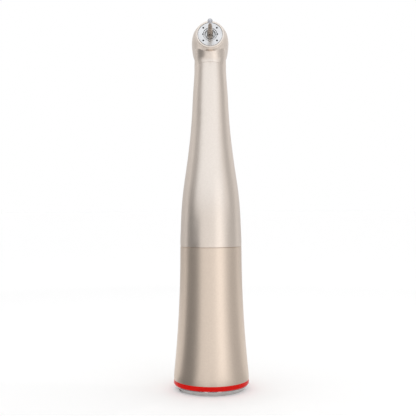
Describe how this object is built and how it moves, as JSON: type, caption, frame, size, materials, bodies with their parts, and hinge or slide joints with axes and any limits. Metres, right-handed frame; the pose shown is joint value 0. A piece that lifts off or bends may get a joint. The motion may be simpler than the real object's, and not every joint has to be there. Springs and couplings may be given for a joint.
{
  "type": "dental handpiece",
  "caption": "Speed-increasing contra-angle dental handpiece with a bent neck, push-button chuck head, bur, colour ring and a rear socket for its motor.",
  "frame": {"origin": "centre of the rear coupling socket at the handpiece's rear face", "axes": "+Z along the handle from the socket towards the head, -Y the side that the bur points to"},
  "size_m": [0.019, 0.0269, 0.0944],
  "materials": {
    "titanium_rear": "satin",
    "titanium_front": "satin",
    "red_ring": "gloss",
    "polished_steel": "polished",
    "machined_steel": "machined",
    "shaft_steel": "ground",
    "gear_steel": "hardened",
    "bearing_steel": "ground",
    "ceramic": "polished",
    "cage_resin": "moulded",
    "seal_rubber": "moulded",
    "spring_steel": "drawn",
    "line_steel": "drawn",
    "bur_steel": "ground",
    "diamond_grit": "gritty"
  },
  "bodies": {
    "handpiece": {"rear_sleeve": "titanium_rear", "colour_ring": "red_ring", "end_ring": "polished_steel", "coupling_tube": "polished_steel", "housing_lock_ring": "machined_steel", "drive_bearing_housing": "machined_steel", "front_sleeve": "titanium_front", "joint_o_ring": "seal_rubber", "gear_carrier": "machined_steel", "neck_bush": "machined_steel", "head_housing": "titanium_front", "front_chuck_o_ring": "seal_rubber", "rear_chuck_o_ring": "seal_rubber", "spray_plate": "polished_steel", "front_seal_ring": "polished_steel", "head_cap": "titanium_front", "spring_washer": "polished_steel", "button_spring": "spring_steel", "bearing_shield": "seal_rubber", "water_tube": "line_steel", "air_tube": "line_steel", "drive_rear_outer_race": "bearing_steel", "drive_front_outer_race": "bearing_steel", "neck_rear_outer_race": "bearing_steel", "neck_front_outer_race": "bearing_steel", "chuck_front_outer_race": "bearing_steel", "chuck_rear_outer_race": "bearing_steel"},
    "drive": {"drive_shaft": "shaft_steel", "ring_gear": "gear_steel", "dog_spring": "spring_steel", "drive_rear_inner_race": "bearing_steel", "drive_front_inner_race": "bearing_steel"},
    "drive_dog": {"drive_dog": "shaft_steel"},
    "neck_drive": {"neck_shaft": "shaft_steel", "neck_pinion": "gear_steel", "crown_gear": "gear_steel", "neck_rear_inner_race": "bearing_steel", "neck_front_inner_race": "bearing_steel"},
    "spindle": {"spindle": "shaft_steel", "spindle_pinion": "gear_steel", "chuck_spring": "spring_steel", "chuck_front_inner_race": "bearing_steel", "chuck_rear_inner_race": "bearing_steel"},
    "collet": {"chuck_collet": "shaft_steel"},
    "bur": {"bur_shank": "bur_steel", "bur_head": "diamond_grit"},
    "push_button": {"push_button": "polished_steel"},
    "drive_rear_ball_set": {"drive_rear_cage": "cage_resin", "drive_rear_balls": "ceramic"},
    "drive_front_ball_set": {"drive_front_cage": "cage_resin", "drive_front_balls": "ceramic"},
    "neck_rear_ball_set": {"neck_rear_cage": "cage_resin", "neck_rear_balls": "ceramic"},
    "neck_front_ball_set": {"neck_front_cage": "cage_resin", "neck_front_balls": "ceramic"},
    "chuck_front_ball_set": {"chuck_front_cage": "cage_resin", "chuck_front_balls": "ceramic"},
    "chuck_rear_ball_set": {"chuck_rear_cage": "cage_resin", "chuck_rear_balls": "ceramic"}
  },
  "joints": [
    {"name": "drive_spin", "type": "hinge", "parent": "handpiece", "child": "drive", "pos_m": [0, 0, 0.027], "axis": [0, 0, 1], "continuous": true},
    {"name": "dog_slide", "type": "slide", "parent": "drive", "child": "drive_dog", "axis": [0, 0, 1], "range_m": [0, 0.0012], "stiffness_N_per_m": 600, "springref_m": -0.0008, "deforming": ["dog_spring"]},
    {"name": "neck_spin", "type": "hinge", "parent": "handpiece", "child": "neck_drive", "pos_m": [0, 0, 0.047], "axis": [0, 0.2079, 0.9781], "continuous": true},
    {"name": "spindle_spin", "type": "hinge", "parent": "handpiece", "child": "spindle", "pos_m": [0, 0.00896, 0.08916], "axis": [0, -0.9781, 0.2079], "continuous": true},
    {"name": "button_press", "type": "slide", "parent": "handpiece", "child": "push_button", "axis": [0, -0.9781, 0.2079], "range_m": [0, 0.0007], "stiffness_N_per_m": 3000, "springref_m": -0.0004, "deforming": ["button_spring"]},
    {"name": "collet_slide", "type": "slide", "parent": "spindle", "child": "collet", "axis": [0, -0.9781, 0.2079], "range_m": [0, 0.0005], "stiffness_N_per_m": 2000, "springref_m": -0.0003, "deforming": ["chuck_spring"]},
    {"name": "bur_pull", "type": "slide", "parent": "spindle", "child": "bur", "axis": [0, -0.9781, 0.2079], "range_m": [0, 0.014]},
    {"name": "drive_rear_balls_spin", "type": "hinge", "parent": "handpiece", "child": "drive_rear_ball_set", "pos_m": [0, 0, 0.0235], "axis": [0, 0, 1], "continuous": true},
    {"name": "drive_front_balls_spin", "type": "hinge", "parent": "handpiece", "child": "drive_front_ball_set", "pos_m": [0, 0, 0.0305], "axis": [0, 0, 1], "continuous": true},
    {"name": "neck_rear_balls_spin", "type": "hinge", "parent": "handpiece", "child": "neck_rear_ball_set", "pos_m": [0, -0.00203, 0.03746], "axis": [0, 0.2079, 0.9781], "continuous": true},
    {"name": "neck_front_balls_spin", "type": "hinge", "parent": "handpiece", "child": "neck_front_ball_set", "pos_m": [0, 0.0073, 0.08133], "axis": [0, 0.2079, 0.9781], "continuous": true},
    {"name": "chuck_front_balls_spin", "type": "hinge", "parent": "handpiece", "child": "chuck_front_ball_set", "pos_m": [0, 0.00447, 0.09011], "axis": [0, -0.9781, 0.2079], "continuous": true},
    {"name": "chuck_rear_balls_spin", "type": "hinge", "parent": "handpiece", "child": "chuck_rear_ball_set", "pos_m": [0, 0.01345, 0.0882], "axis": [0, -0.9781, 0.2079], "continuous": true}
  ],
  "couplings": [
    {"joint": "neck_spin", "follows": "drive_spin", "ratio": 3.3333},
    {"joint": "spindle_spin", "follows": "drive_spin", "ratio": -5},
    {"joint": "collet_slide", "follows": "button_press", "ratio": 0.714},
    {"joint": "drive_rear_balls_spin", "follows": "drive_spin", "ratio": 0.39},
    {"joint": "drive_front_balls_spin", "follows": "drive_spin", "ratio": 0.39},
    {"joint": "neck_rear_balls_spin", "follows": "drive_spin", "ratio": 1.303},
    {"joint": "neck_front_balls_spin", "follows": "drive_spin", "ratio": 1.303},
    {"joint": "chuck_front_balls_spin", "follows": "drive_spin", "ratio": -1.9751},
    {"joint": "chuck_rear_balls_spin", "follows": "drive_spin", "ratio": -1.9751}
  ]
}
